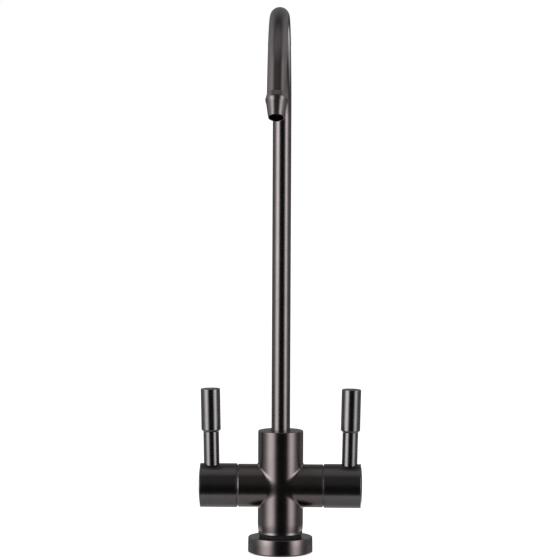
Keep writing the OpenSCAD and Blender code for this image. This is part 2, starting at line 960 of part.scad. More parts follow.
valve_body();
gland_ring();
spout_bush();
spout_thrust_washer();
spout_tube();
spout_nozzle();
flow_straightener();
spout_insert();
spout_o_rings();
base_ring();
base_gasket();
foot_seal();
mounting_shank();
deck_rubber_washer();
steel_washer();
mounting_nut();
on_left() inlet_tube();  // left_inlet_tube
on_right() inlet_tube();  // right_inlet_tube
on_left() cartridge_body();  // left_cartridge_body
on_right() cartridge_body();  // right_cartridge_body
on_left() cartridge_o_ring();  // left_cartridge_o_ring
on_right() cartridge_o_ring();  // right_cartridge_o_ring
on_left() seat_seal();  // left_seat_seal
on_right() seat_seal();  // right_seat_seal
on_left() seat_disc();  // left_seat_disc
on_right() seat_disc();  // right_seat_disc
on_left() glide_ring();  // left_glide_ring
on_right() glide_ring();  // right_glide_ring
on_left() rotor_disc();  // left_rotor_disc
on_right() rotor_disc();  // right_rotor_disc
on_left() spindle();  // left_spindle
on_right() spindle();  // right_spindle
on_left() spindle_o_rings();  // left_spindle_o_rings
on_right() spindle_o_rings();  // right_spindle_o_rings
on_left() spindle_washer();  // left_spindle_washer
on_right() spindle_washer();  // right_spindle_washer
on_left() stop_washer();  // left_stop_washer
on_right() stop_washer();  // right_stop_washer
on_left() hub();  // left_hub
on_right() hub();  // right_hub
on_left() hub_cap();  // left_hub_cap
on_right() hub_cap();  // right_hub_cap
on_left() handle_screw();  // left_handle_screw
on_right() handle_screw();  // right_handle_screw
on_left() lever_rod();  // left_lever_rod
on_right() lever_rod();  // right_lever_rod
on_left() lever_grip();  // left_lever_grip
on_right() lever_grip();  // right_lever_grip
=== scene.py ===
"""Looks of a two-handle drinking water faucet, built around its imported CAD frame."""

import json
import math

import bmesh
import bpy
from mathutils import Matrix, Vector


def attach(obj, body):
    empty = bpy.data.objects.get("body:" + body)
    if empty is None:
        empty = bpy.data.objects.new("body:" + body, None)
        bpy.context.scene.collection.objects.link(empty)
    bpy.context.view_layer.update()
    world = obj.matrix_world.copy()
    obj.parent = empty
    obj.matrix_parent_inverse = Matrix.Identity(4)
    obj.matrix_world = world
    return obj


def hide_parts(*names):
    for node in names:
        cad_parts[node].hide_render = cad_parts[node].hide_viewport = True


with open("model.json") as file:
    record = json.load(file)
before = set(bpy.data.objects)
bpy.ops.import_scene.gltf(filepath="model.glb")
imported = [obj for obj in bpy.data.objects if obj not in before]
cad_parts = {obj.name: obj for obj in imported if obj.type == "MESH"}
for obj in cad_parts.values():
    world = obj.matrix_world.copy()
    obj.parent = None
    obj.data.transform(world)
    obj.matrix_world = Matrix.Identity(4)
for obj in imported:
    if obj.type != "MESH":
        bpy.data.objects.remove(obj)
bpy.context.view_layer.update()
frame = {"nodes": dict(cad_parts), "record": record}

MM = 0.001
MERGE = 0.0001 * MM
SHARP_ANGLE = math.radians(38)
# Faces round the large pieces, the slim ones and the inlet tubes, and in each rounded edge
TURN_STEPS, SLIM_STEPS, INLET_STEPS, ARC_SEGMENTS = 144, 96, 72, 6

# The pieces' sizes are in millimetres. X and Z say where something is, R is a radius,
# L a length and T a thickness.
SLIP = 0.05      # gap round a piece that sits in another
EASE = 0.1       # usual rounding of a turned edge

# Spout
TUBE_R, TUBE_BORE_R = 5.15, 4.15
TUBE_FOOT_Z = 50.2
NECK_R, NECK_TURN, NECK_STEPS = 55.0, math.radians(149), 149
SPOUT_TOP = 301.6
BEND_Z = SPOUT_TOP - TUBE_R - NECK_R
TIP_RUN = 15.7
SPIGOT_R, SPIGOT_L, COLLAR_R = 4.1, 5.0, 5.13
BEAD_R, BEAD_Z, CONE_R, CONE_Z, BEAD_ROUND = 6.0, 3.5, 5.4, 5.3, 0.9
NOZZLE_R, NOZZLE_L, NOZZLE_BORE_R = 4.2, 13.8, 3.3
MOUTH_R, MOUTH_Z = 3.85, 8.3

# Valve body
COLUMN_R, COLUMN_FOOT_Z, COLUMN_TOP = 12.5, 11.1, 68.3
FOOT_TAPER_Z, FOOT_LIP_Z, FOOT_LIP, FOOT_TAPER_R = 17.0, 12.2, 0.2, 30
ARM_R, ARM_Z, ARM_REACH = 11.9, 37.5, 23.4
ARM_TIP = ARM_REACH - 1
BLEND_FRONT, BLEND_TOP, BLEND_LOW, BLEND_SIDE = 1.0, 1.2, 0.9, 0.3
BLEND_SHARE, ARM_ROWS = 0.25, 40
SEAM_ROUND = 0.2
GLAND_R, GLAND_Z = 9.0, 63.3
SOCKET_R, SOCKET_Z = 7.6, 45.3
NECK_FOOT_R, LEDGE_Z = 11.0, 3.0
CARTRIDGE_R, CARTRIDGE_SEAT = 9.3, 12.5

# Hubs and levers
HUB_R, HUB_X, HUB_L = 12.15, 24.0, 20.5
HUB_END = HUB_X + HUB_L
HUB_BORE_R, HUB_WEB_X = 10.45, 33.0
CAP_R, CAP_T, CAP_DOME, DOME_STEPS = 10.5, 1.55, 0.7, 12
RIM_ROUND = 0.3
LEVER_X, LEVER_LEAN = HUB_X + 13.9, math.radians(1.2)
RECESS_R, RECESS_ROUND = 4.8, 0.25
WINDOW_X, WINDOW_STEPS, WINDOW_ROWS, LIP_ROWS = 5.6, 11, 8, 5
ROD_R, ROD_FOOT_R, ROD_HEAD_R, ROD_HEAD_L = 4.3, 3.0, 2.6, 12
ROD_SEAT, ROD_FOOT = 10.95, 5.2
LEVER_L, GRIP_R, GRIP_L = 53.8, 5.35, 23.9
GRIP_BORE_R, GRIP_BORE_L, GRIP_FOOT_ROUND, GRIP_TOP_ROUND = 2.65, 12.5, 1.4, 0.5
GRIP_Z = LEVER_L - GRIP_L

# Base and clamp
BASE_R, BASE_TOP, BASE_LOW, BASE_BORE_R = 17.85, 9.3, 0.3, 10.3
BASE_CROWN_Z, BASE_CROWN_TOP, BASE_CROWN_R, BASE_EDGE = 5.0, BASE_TOP - 0.7, 60, 0.12
BASE_LOW_ROUND, BASE_TOP_ROUND = 0.8, 0.6
SHANK_R, SHANK_BORE_R, SHANK_END, SHANK_TOP = 10.0, 7.6, -58.0, 13.0
SHANK_HEAD_R, SHANK_NECK_R, SHANK_PLAIN_Z, SHANK_TIP = 9.0, 9.7, -16, 1
THREAD_R, THREAD_TOP, THREAD_PITCH, THREAD_DEPTH = SHANK_R - SLIP, -17.2, 1.5, 0.8
THREAD_FADE, THREAD_ROWS = 1.2, 8
THREAD_LOW = SHANK_END + THREAD_FADE
INLET_R, INLET_BORE_R, INLET_X, INLET_END, INLET_TOP = 3.175, 2.175, 4.0, -88.0, 24.0
INLET_MARK_R, INLET_MARK_LOW, INLET_MARK_TOP = INLET_R - 0.2, -66, -65.2


# Meshes


def wire(bm, corners):
    """Draws a half section; a corner is (radius, height) or (radius, height, rounding)."""
    verts = [bm.verts.new((c[0] * MM, 0, c[1] * MM)) for c in corners]
    for pair in zip(verts, verts[1:]):
        bm.edges.new(pair)
    for vert, corner in zip(verts, corners):
        if len(corner) > 2:
            bmesh.ops.bevel(
                bm, geom=[vert], offset=corner[2] * MM, offset_type="OFFSET",
                segments=ARC_SEGMENTS, profile=0.5, affect="VERTICES", material=-1,
            )


def spin(bm, steps=TURN_STEPS):
    """Turns the whole half section into a surface round the Z axis."""
    bmesh.ops.spin(
        bm, geom=bm.verts[:] + bm.edges[:], cent=(0, 0, 0), axis=(0, 0, 1),
        angle=math.tau, steps=steps, use_merge=True,
    )


def swell(radius, start, end, curve_r, steps=6):
    """Corners of a side that curves in from the height start to end."""
    heights = [start + (end - start) * k / steps for k in range(steps + 1)]
    return [(radius - (z - start) ** 2 / (2 * curve_r), z) for z in heights]


def turned(corners, steps=TURN_STEPS):
    """A piece as it comes off a lathe, from its half section."""
    bm = bmesh.new()
    wire(bm, corners)
    spin(bm, steps)
    return bm


def grid(bm, columns, rows, place):
    """A sheet of columns by rows faces, whose points are moved by place(u, v)."""
    sheet = bmesh.ops.create_grid(bm, x_segments=columns, y_segments=rows, size=0.5)["verts"]
    for vert in sheet:
        vert.co = place(vert.co.x + 0.5, vert.co.y + 0.5) * MM


# Places for pieces that are drawn round the Z axis
AS_DRAWN = Matrix.Identity(4)
TO_LEFT = Matrix.Scale(-1, 4, (1, 0, 0))
ALONG_X = Matrix.Translation((0, 0, ARM_Z * MM)) @ Matrix.Rotation(math.pi / 2, 4, "Y")
AT_LEVER = (
    Matrix.Translation((LEVER_X * MM, 0, ARM_Z * MM))
    @ Matrix.Rotation(LEVER_LEAN, 4, "Y")
)
AT_TIP = (
    Matrix.Translation((0, -NECK_R * MM, BEND_Z * MM))
    @ Matrix.Rotation(NECK_TURN, 4, "X")
    @ Matrix.Translation((0, NECK_R * MM, TIP_RUN * MM))
)


def add(bm, other, matrix=AS_DRAWN):
    """Moves what other holds into bm."""
    other.transform(matrix)
    mesh = bpy.data.meshes.new("part")
    other.to_mesh(mesh)
    other.free()
    bm.from_mesh(mesh)
    bpy.data.meshes.remove(mesh)


def piece(name, bm, body, slot, material, *replaced, matrix=AS_DRAWN):
    """Closes a mesh, puts it in its place and hands it to its body in the frame."""
    bm.transform(matrix)
    bmesh.ops.remove_doubles(bm, verts=bm.verts[:], dist=MERGE)
    bmesh.ops.dissolve_degenerate(bm, edges=bm.edges[:], dist=MERGE)
    bmesh.ops.recalc_face_normals(bm, faces=bm.faces[:])
    mesh = bpy.data.meshes.new(name)
    bm.to_mesh(mesh)
    bm.free()
    mesh.shade_smooth()
    mesh.set_sharp_from_angle(angle=SHARP_ANGLE)
    mesh.materials.append(material)
    obj = bpy.data.objects.new(name, mesh)
    bpy.context.scene.collection.objects.link(obj)
    weighted = obj.modifiers.new("even_shading", "WEIGHTED_NORMAL")
    weighted.keep_sharp = True
    weighted.weight = 100
    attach(obj, body)
    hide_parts(*replaced)


# Materials


NOISE_ROUGHNESS, NOISE_LOW, NOISE_HIGH = 0.55, 0.3, 0.7


def link(tree, source, output, target, socket):
    tree.links.new(source.outputs[output], target.inputs[socket])


def noise(tree, coords, scale, detail):
    """Noise over the piece's own coordinates; scale counts per metre."""
    node = tree.nodes.new("ShaderNodeTexNoise")
    node.inputs["Scale"].default_value = scale
    node.inputs["Detail"].default_value = detail
    node.inputs["Roughness"].default_value = NOISE_ROUGHNESS
    link(tree, coords, "Object", node, "Vector")
    return node


def ramp(tree, source, stops):
    """Colours over a value from 0 to 1; a stop is (value, colour)."""
    node = tree.nodes.new("ShaderNodeValToRGB")
    while len(node.color_ramp.elements) < len(stops):
        node.color_ramp.elements.new(0.5)
    for element, (place, color) in zip(node.color_ramp.elements, stops):
        element.position = place
        element.color = (*color, 1)
    link(tree, source, 0, node, "Fac")
    return node


def spread(tree, source, low, high):
    """Maps a noise's middle range to the range from low to high."""
    node = tree.nodes.new("ShaderNodeMapRange")
    node.inputs["From Min"].default_value = NOISE_LOW
    node.inputs["From Max"].default_value = NOISE_HIGH
    node.inputs["To Min"].default_value = low
    node.inputs["To Max"].default_value = high
    link(tree, source, 0, node, "Value")
    return node


def bump(tree, source, shader, strength, distance):
    """Raises the shader's surface by the source, up to distance in metres."""
    node = tree.nodes.new("ShaderNodeBump")
    node.inputs["Strength"].default_value = strength
    node.inputs["Distance"].default_value = distance
    link(tree, source, 0, node, "Height")
    link(tree, node, "Normal", shader, "Normal")


def finish(name, tones, clouds, roughness, gloss, grain, **sockets):
    """A material whose tone and gloss drift over the surface, with a fine grain in its normal.

    clouds and gloss are the scales of the two drifts; grain is (scale, strength, depth in metres).
    """
    material = bpy.data.materials.new(name)
    material.use_nodes = True
    tree = material.node_tree
    shader = tree.nodes["Principled BSDF"]
    coords = tree.nodes.new("ShaderNodeTexCoord")
    tone = ramp(tree, noise(tree, coords, clouds, 3.0), tones)
    link(tree, tone, "Color", shader, "Base Color")
    satin = spread(tree, noise(tree, coords, gloss, 4.0), *roughness)
    link(tree, satin, "Result", shader, "Roughness")
    grain_scale, strength, depth = grain
    bump(tree, noise(tree, coords, grain_scale, 2.0), shader, strength, depth)
    for socket, value in sockets.items():
        shader.inputs[socket.replace("_", " ")].default_value = value
    return material


def bronzed(name, light, *hue):
    """Satin dark bronze; each kind of piece gets its own brightness and tint."""
    drift = [(0.3, 0.93), (0.55, 1.0), (0.72, 1.06)]
    tones = [(place, tuple(light * level * tint for tint in hue)) for place, level in drift]
    return finish(
        name, tones, clouds=95, roughness=(0.205, 0.245), gloss=420, grain=(3000, 0.1, 0.0000002),
        Metallic=1.0,
    )


bronze = bronzed("dark_bronze_cast", 0.113, 1.165, 1.0, 0.99)
bronze_hub = bronzed("dark_bronze_turned", 0.115, 1.075, 1.0, 1.02)
bronze_tube = bronzed("dark_bronze_tube", 0.122, 1.14, 1.0, 1.015)
bronze_lever = bronzed("dark_bronze_lever", 0.14, 1.06, 1.0, 1.02)
brass = finish(
    "machined_brass",
    [(0.3, (0.60, 0.43, 0.20)), (0.6, (0.70, 0.52, 0.26)), (0.75, (0.64, 0.47, 0.24))],
    clouds=140, roughness=(0.22, 0.34), gloss=600, grain=(3000, 0.1, 0.000003), Metallic=1.0,
)
steel = finish(
    "brushed_steel",
    [(0.3, (0.52, 0.53, 0.54)), (0.7, (0.60, 0.61, 0.62))],
    clouds=180, roughness=(0.24, 0.36), gloss=700, grain=(3200, 0.1, 0.000003), Metallic=1.0,
)
# Black rubber, with its tone set darker than the rubber's own so that the gap under the column foot
# looks shaded: partly its real colour, partly painted shade
rubber = finish(
    "black_rubber_darkened_as_shade",
    [(0.3, (0.010, 0.010, 0.011)), (0.7, (0.016, 0.016, 0.016))],
    clouds=220, roughness=(0.62, 0.78), gloss=900, grain=(2600, 0.3, 0.00004),
    Specular_IOR_Level=0.2,
)
acetal = finish(
    "natural_acetal",
    [(0.3, (0.74, 0.73, 0.69)), (0.7, (0.80, 0.79, 0.75))],
    clouds=150, roughness=(0.38, 0.48), gloss=700, grain=(2400, 0.1, 0.00002),
)
ceramic = finish(
    "lapped_ceramic",
    [(0.3, (0.80, 0.79, 0.75)), (0.7, (0.86, 0.85, 0.81))],
    clouds=260, roughness=(0.12, 0.2), gloss=900, grain=(4000, 0.06, 0.00001),
)
FINISHES = {
    "bronze": bronze, "brass": brass, "steel": steel,
    "rubber": rubber, "acetal": acetal, "ceramic": ceramic,
}


# Spout


def lengthened(bm, edges, run):
    """Extrudes an open end by run; gives the new end's points and edges."""
    grown = bmesh.ops.extrude_edge_only(bm, edges=edges)["geom"]
    points = [part for part in grown if isinstance(part, bmesh.types.BMVert)]
    bmesh.ops.translate(bm, verts=points, vec=run)
    return points + [part for part in grown if isinstance(part, bmesh.types.BMEdge)]


def bent_tube(radius):
    """The riser, the bend and the straight run at the tip, as one open skin."""
    bm = bmesh.new()
    ring = bmesh.ops.create_circle(bm, segments=SLIM_STEPS, radius=radius * MM)["verts"]
    bmesh.ops.translate(bm, verts=ring, vec=(0, 0, TUBE_FOOT_Z * MM))
    riser_end = lengthened(bm, bm.edges[:], (0, 0, (BEND_Z - TUBE_FOOT_Z) * MM))
    bend_end = bmesh.ops.spin(
        bm, geom=riser_end, cent=(0, -NECK_R * MM, BEND_Z * MM), axis=(1, 0, 0),
        angle=NECK_TURN, steps=NECK_STEPS, use_merge=False,
    )["geom_last"]
    rim = [part for part in bend_end if isinstance(part, bmesh.types.BMEdge)]
    lengthened(bm, rim, Matrix.Rotation(NECK_TURN, 3, "X") @ Vector((0, 0, TIP_RUN * MM)))
    return bm


pipe = bent_tube(TUBE_R)
add(pipe, bent_tube(TUBE_BORE_R))
open_edges = [edge for edge in pipe.edges if edge.is_boundary]
for at_foot in (True, False):
    ends = [edge for edge in open_edges if (edge.verts[0].co.z < BEND_Z / 2 * MM) == at_foot]
    bmesh.ops.bridge_loops(pipe, edges=ends)
piece("spout_pipe", pipe, "spout", "bronze", bronze_tube, "spout_tube")

nozzle = turned([
    (NOZZLE_BORE_R, -SPIGOT_L), (SPIGOT_R, -SPIGOT_L, 0.15), (SPIGOT_R, -0.02), (COLLAR_R, 0, EASE),
    (BEAD_R, BEAD_Z, BEAD_ROUND), (CONE_R, CONE_Z, BEAD_ROUND),
    (NOZZLE_R, NOZZLE_L, 0.2), (MOUTH_R, NOZZLE_L, EASE), (MOUTH_R, MOUTH_Z),
    (NOZZLE_BORE_R, MOUTH_Z), (NOZZLE_BORE_R, -SPIGOT_L),
])
piece("spout_tip", nozzle, "spout", "bronze", bronze_tube, "spout_nozzle", matrix=AT_TIP)


# Valve body


def melted(point):
    """Distance to the melted skin of column and arms; the point is counted from their crossing."""
    column = math.hypot(point.x, point.y) - COLUMN_R
    arms = math.hypot(point.y, point.z) - ARM_R
    edge = BLEND_TOP if point.z > 0 else BLEND_LOW
    reach = edge + (BLEND_FRONT - edge) * min(1.0, abs(point.y) / ARM_R) ** 2
    overlap = max(0.0, reach - abs(column - arms)) / reach
    return min(column, arms) - overlap * overlap * reach / 4


def settle(point, step=0.001, rounds=4):
    """Moves a point onto the melted surface, along the surface's slope."""
    nudges = (Vector((step, 0, 0)), Vector((0, step, 0)), Vector((0, 0, step)))
    for _ in range(rounds):
        here = melted(point)
        slope = Vector([
            (melted(point + nudge) - melted(point - nudge)) / (2 * step) for nudge in nudges
        ])
        point = point - slope * (here / slope.length_squared)
    return point


def crossing(bm):
    """Column and arms where they meet, as far as the arms' ends."""

    def beside(angle, gap):
        """A point on the column, gap outside the arms' round."""
        y, z = (ARM_R + gap) * math.cos(angle), (ARM_R + gap) * math.sin(angle)
        return Vector((math.sqrt(COLUMN_R ** 2 - y * y), y, z))

    def edge(angle):
        """The column's last point before the blend, widest above and below the arms."""
        lift = math.sin(angle)
        reach = BLEND_TOP if lift > 0 else BLEND_LOW
        return beside(angle, BLEND_SIDE + (reach - BLEND_SIDE) * lift * lift)

    def column_panel(side, from_angle):
        """The column between the arms, at its back for side 1 and at its front for side -1."""
        def place(u, v):
            corner = edge(from_angle + v * math.pi)
            start = math.atan2(side * corner.y, corner.x)
            angle = side * (start + u * (math.pi - 2 * start))
            point = Vector((COLUMN_R * math.cos(angle), COLUMN_R * math.sin(angle), corner.z))
            return settle(point) + Vector((0, 0, ARM_Z))
        return place

    def arm(side):
        """The blend first, then the arm, whose rows lie closest next to the blend."""
        def place(u, v):
            outer, corner = edge(u * math.tau), beside(u * math.tau, 0)
            if v < BLEND_SHARE:
                point = outer.lerp(corner, v / BLEND_SHARE)
            else:
                along = (v - BLEND_SHARE) / (1 - BLEND_SHARE)
                x = corner.x + along * along * (ARM_TIP - corner.x)
                point = Vector((x, corner.y, corner.z))
            point = settle(point)
            return Vector((side * point.x, point.y, point.z + ARM_Z))
        return place

    half = TURN_STEPS // 2
    grid(bm, half, half, column_panel(1, -math.pi / 2))
    grid(bm, half, half, column_panel(-1, math.pi / 2))
    for side in (1, -1):
        grid(bm, TURN_STEPS, ARM_ROWS, arm(side))


body = bmesh.new()
crossing(body)
add(body, turned([
    (COLUMN_R, ARM_Z + ARM_R + BLEND_TOP), (COLUMN_R, COLUMN_TOP, 0.6),
    (GLAND_R + SLIP, COLUMN_TOP, 0.12), (GLAND_R + SLIP, GLAND_Z), (SOCKET_R, GLAND_Z),
    (SOCKET_R, SOCKET_Z), (0, SOCKET_Z),
]))
add(body, turned([
    (COLUMN_R, ARM_Z - ARM_R - BLEND_LOW),
    *swell(COLUMN_R, FOOT_TAPER_Z, FOOT_LIP_Z, FOOT_TAPER_R),
    (COLUMN_R - FOOT_LIP, COLUMN_FOOT_Z, 0.15), (NECK_FOOT_R, COLUMN_FOOT_Z),
    (NECK_FOOT_R, LEDGE_Z), (SHANK_HEAD_R + SLIP, LEDGE_Z), (SHANK_HEAD_R + SLIP, SHANK_TOP),
    (0, SHANK_TOP),
]))
# The left arm's rim is bevelled wider and shallower, so it catches the light in the seam
RIGHT_RIM = [(ARM_R, ARM_REACH, SEAM_ROUND)]
LEFT_RIM = [(ARM_R, ARM_REACH - 0.45), (ARM_R - 0.2, ARM_REACH, 0.05)]
for mirror, rim in ((AS_DRAWN, RIGHT_RIM), (TO_LEFT, LEFT_RIM)):
    arm_end = turned([
        (ARM_R, ARM_TIP), *rim, (CARTRIDGE_R, ARM_REACH), (CARTRIDGE_R, CARTRIDGE_SEAT),
        (0, CARTRIDGE_SEAT),
    ])
    add(body, arm_end, mirror @ ALONG_X)
piece("cross_body", body, "faucet_body", "bronze", bronze, "valve_body")


# Hubs and levers


def hub_skin():
    """Drum along X; a window in its wall is filled in round the recess for the lever."""
    bm = bmesh.new()
    step = math.tau / TURN_STEPS
    low_x, high_x = LEVER_X - WINDOW_X, LEVER_X + WINDOW_X
    side = 2 * WINDOW_STEPS

    def on_wall(x, angle):
        """A point on the drum, its angle counted from the top towards the front."""
        return Vector((x, -HUB_R * math.sin(angle), ARM_Z + HUB_R * math.cos(angle)))

    def band(u, v):
        """The wall beside the window, all the way round."""
        angle = step * (WINDOW_STEPS + v * (TURN_STEPS - side))
        return on_wall(low_x + u * (high_x - low_x), angle)

    def frame_point(u):
        """Goes once round the window's four sides, each from -1 to 1."""
        hair = 1e-6
        lap, rest = divmod((u % 1) * 4 * side + hair, side)
        rest = (rest - hair) / side
        corners = [(-1, -1), (1, -1), (1, 1), (-1, 1)]
        a, b = corners[int(lap) % 4], corners[(int(lap) + 1) % 4]
        return a[0] + rest * (b[0] - a[0]), a[1] + rest * (b[1] - a[1])

    def bearing(u):
        """The same way round, as an angle about the lever's axis."""
        a, b = frame_point(u)
        return math.atan2(-b, a)

    def rim_point(radius, angle):
        """Where a ray round the lever's axis meets the drum."""
        x, y = radius * math.cos(angle), radius * math.sin(angle)
        up = math.sqrt(HUB_R * HUB_R - y * y)
        height = (up + x * math.sin(LEVER_LEAN)) / math.cos(LEVER_LEAN)
        return Vector((x, y, height))

    def to_world(local):
        """From the lever's own frame, which leans, to the model's."""
        return (AT_LEVER @ (local * MM)) / MM

    def around(u, v):
        """The wall from the window's frame to the recess."""
        a, b = frame_point(u)
        corner = on_wall((low_x + high_x) / 2 + a * (high_x - low_x) / 2, b * WINDOW_STEPS * step)
        rim = to_world(rim_point(RECESS_R + RECESS_ROUND, bearing(u)))
        mixed = corner.lerp(rim, v)
        off = math.hypot(mixed.y, mixed.z - ARM_Z)
        return Vector((mixed.x, mixed.y * HUB_R / off, ARM_Z + (mixed.z - ARM_Z) * HUB_R / off))

    def lip(u, v):
        """The recess's rounded edge."""
        turn = v * math.pi / 2
        at = rim_point(RECESS_R + RECESS_ROUND * (1 - math.sin(turn)), bearing(u))
        at.z -= RECESS_ROUND * (1 - math.cos(turn))
        return to_world(at)

    def well(u, v):
        """The recess's wall, down to the rod's seat."""
        at = rim_point(RECESS_R, bearing(u))
        at.z = (at.z - RECESS_ROUND) * (1 - v) + ROD_SEAT * v
        return to_world(at)

    def seat(u, v):
        """The recess's floor, which the rod stands on."""
        angle, r = bearing(u), RECESS_R * (1 - v)
        return to_world(Vector((r * math.cos(angle), r * math.sin(angle), ROD_SEAT)))

    grid(bm, side, TURN_STEPS - side, band)
    grid(bm, 4 * side, WINDOW_ROWS, around)
    grid(bm, 4 * side, LIP_ROWS, lip)
    grid(bm, 4 * side, 1, well)
    grid(bm, 4 * side, 1, seat)
    inner = turned([
        (HUB_R, low_x), (HUB_R, HUB_X, SEAM_ROUND), (HUB_BORE_R, HUB_X),
        (HUB_BORE_R, HUB_WEB_X), (0, HUB_WEB_X),
    ])
    outer = turned([
        (HUB_R, high_x), (HUB_R, HUB_END, RIM_ROUND), (CAP_R + SLIP, HUB_END, 0.12),
        (CAP_R + SLIP, HUB_END - CAP_T), (0, HUB_END - CAP_T),
    ])
    for part in (inner, outer):
        add(bm, part, ALONG_X)
    return bm


def dome():
    """Cap with a shallow crown; its edge stands a hair below the rim."""
    angles = [k * math.pi / (2 * DOME_STEPS) for k in range(DOME_STEPS)]
    crown = [(CAP_R * math.sin(a), HUB_END + CAP_DOME * math.cos(a)) for a in reversed(angles)]
    return turned([(0, HUB_END - CAP_T), (CAP_R, HUB_END - CAP_T), (CAP_R, HUB_END, EASE), *crown])


def rod():
    """The lever's thin stretch, with a foot in the hub and a head in the grip."""
    head_top = GRIP_Z + ROD_HEAD_L
    return turned([
        (0, ROD_FOOT), (ROD_FOOT_R, ROD_FOOT, 0.3), (ROD_FOOT_R, ROD_SEAT),
        (ROD_R, ROD_SEAT, EASE), (ROD_R, GRIP_Z, 0.15), (ROD_HEAD_R, GRIP_Z),
        (ROD_HEAD_R, head_top, 0.3), (0, head_top),
    ], SLIM_STEPS)


def grip():
    """The lever's thick stretch, bored for the rod's head."""
    return turned([
        (GRIP_BORE_R, GRIP_Z + GRIP_BORE_L), (GRIP_BORE_R, GRIP_Z, EASE),
        (GRIP_R, GRIP_Z, GRIP_FOOT_ROUND), (GRIP_R, LEVER_L, GRIP_TOP_ROUND), (0, LEVER_L),
    ], SLIM_STEPS)


for side, mirror in (("left", TO_LEFT), ("right", AS_DRAWN)):
    for part, shape, material, node, place in (
        ("drum", hub_skin, bronze_hub, "hub", AS_DRAWN),
        ("cap", dome, bronze_hub, "hub_cap", ALONG_X),
        ("rod", rod, bronze_lever, "lever_rod", AT_LEVER),
        ("grip", grip, bronze_lever, "lever_grip", AT_LEVER),
    ):
        piece(
            f"{side}_{part}", shape(), f"{side}_handle", "bronze", material, f"{side}_{node}",
            matrix=mirror @ place,
        )


# Base and clamp

foot = turned([
    (BASE_BORE_R, BASE_LOW), (BASE_R, BASE_LOW, BASE_LOW_ROUND),
    *swell(BASE_R, BASE_CROWN_Z, BASE_CROWN_TOP, BASE_CROWN_R),
    (BASE_R - BASE_EDGE, BASE_TOP, BASE_TOP_ROUND), (NECK_FOOT_R + SLIP, BASE_TOP, EASE),
    (NECK_FOOT_R + SLIP, LEDGE_Z), (BASE_BORE_R, LEDGE_Z), (BASE_BORE_R, BASE_LOW),
])
piece("foot_ring", foot, "faucet_body", "bronze", bronze, "base_ring")


def shank():
    """Hollow stud: plain below the deck's top, then a thread down to its end."""
    bm = bmesh.new()
    rows = int((THREAD_TOP - SHANK_END) / THREAD_PITCH * THREAD_ROWS)

    def thread(u, v):
        """One helix, which fades out at both ends."""
        z = THREAD_TOP + v * (THREAD_LOW - THREAD_TOP)
        tooth = abs(2 * ((z / THREAD_PITCH + u) % 1.0) - 1)
        fade = min(1.0, (THREAD_TOP - z) / THREAD_FADE, (z - THREAD_LOW) / THREAD_FADE)
        r = THREAD_R - THREAD_DEPTH * (1 - tooth) * max(0.0, fade)
        return Vector((r * math.cos(u * math.tau), r * math.sin(u * math.tau), z))

    grid(bm, SLIM_STEPS, rows, thread)
    add(bm, turned([
        (THREAD_R, THREAD_LOW), (THREAD_R, SHANK_END + SHANK_TIP),
        (THREAD_R - SHANK_TIP, SHANK_END, EASE), (SHANK_BORE_R, SHANK_END),
        (SHANK_BORE_R, SHANK_TOP), (SHANK_HEAD_R, SHANK_TOP, 0.2), (SHANK_HEAD_R, LEDGE_Z),
        (SHANK_NECK_R, LEDGE_Z), (SHANK_NECK_R, 0), (SHANK_R, 0), (SHANK_R, SHANK_PLAIN_Z),
        (SHANK_NECK_R, SHANK_PLAIN_Z), (SHANK_NECK_R, THREAD_TOP), (THREAD_R, THREAD_TOP),
    ], SLIM_STEPS))
    return bm


piece("threaded_shank", shank(), "faucet_body", "brass", brass, "mounting_shank")

for side, x in (("left", -INLET_X), ("right", INLET_X)):
    tube = turned([
        (INLET_BORE_R, INLET_END), (INLET_R, INLET_END, 0.35),
        (INLET_R, INLET_MARK_LOW), (INLET_MARK_R, INLET_MARK_LOW),
        (INLET_MARK_R, INLET_MARK_TOP), (INLET_R, INLET_MARK_TOP),
        (INLET_R, INLET_TOP, 0.15), (INLET_BORE_R, INLET_TOP), (INLET_BORE_R, INLET_END),
    ], INLET_STEPS)
    piece(
        f"{side}_water_tube", tube, "faucet_body", "brass", brass, f"{side}_inlet_tube",
        matrix=Matrix.Translation((x * MM, 0, 0)),
    )


# Kept CAD nodes, each in its slot's finish

SLOT_OF = {part["node"]: part["material_slot"] for part in frame["record"]["subparts"]}
for name, node in frame["nodes"].items():
    node.data.materials.clear()
    node.data.materials.append(FINISHES[SLOT_OF[name]])


# Studio

# A matte floor, which takes the faucet's shadow and glows for the camera alone, so it looks white
FLOOR_SIZE = 60.0
FLOOR_GREY, FLOOR_GLOW = 0.45, 0.86
floor_bm = bmesh.new()
bmesh.ops.create_grid(floor_bm, x_segments=1, y_segments=1, size=FLOOR_SIZE / 2)
floor_mesh = bpy.data.meshes.new("floor")
floor_bm.to_mesh(floor_mesh)
floor_bm.free()
floor = bpy.data.objects.new("floor", floor_mesh)
bpy.context.scene.collection.objects.link(floor)
floor.visible_glossy = False

paper = bpy.data.materials.new("white_paper")
paper.use_nodes = True
tree = paper.node_tree
tree.nodes.clear()
path = tree.nodes.new("ShaderNodeLightPath")
matte = tree.nodes.new("ShaderNodeBsdfDiffuse")
matte.inputs["Color"].default_value = (FLOOR_GREY, FLOOR_GREY, FLOOR_GREY, 1)
glow = tree.nodes.new("ShaderNodeEmission")
glow.inputs["Strength"].default_value = FLOOR_GLOW
both = tree.nodes.new("ShaderNodeAddShader")
seen = tree.nodes.new("ShaderNodeMixShader")
out = tree.nodes.new("ShaderNodeOutputMaterial")
link(tree, matte, 0, both, 0)
link(tree, glow, 0, both, 1)
link(tree, path, "Is Camera Ray", seen, "Fac")
link(tree, matte, 0, seen, 1)
link(tree, both, 0, seen, 2)
link(tree, seen, 0, out, "Surface")
floor.data.materials.append(paper)


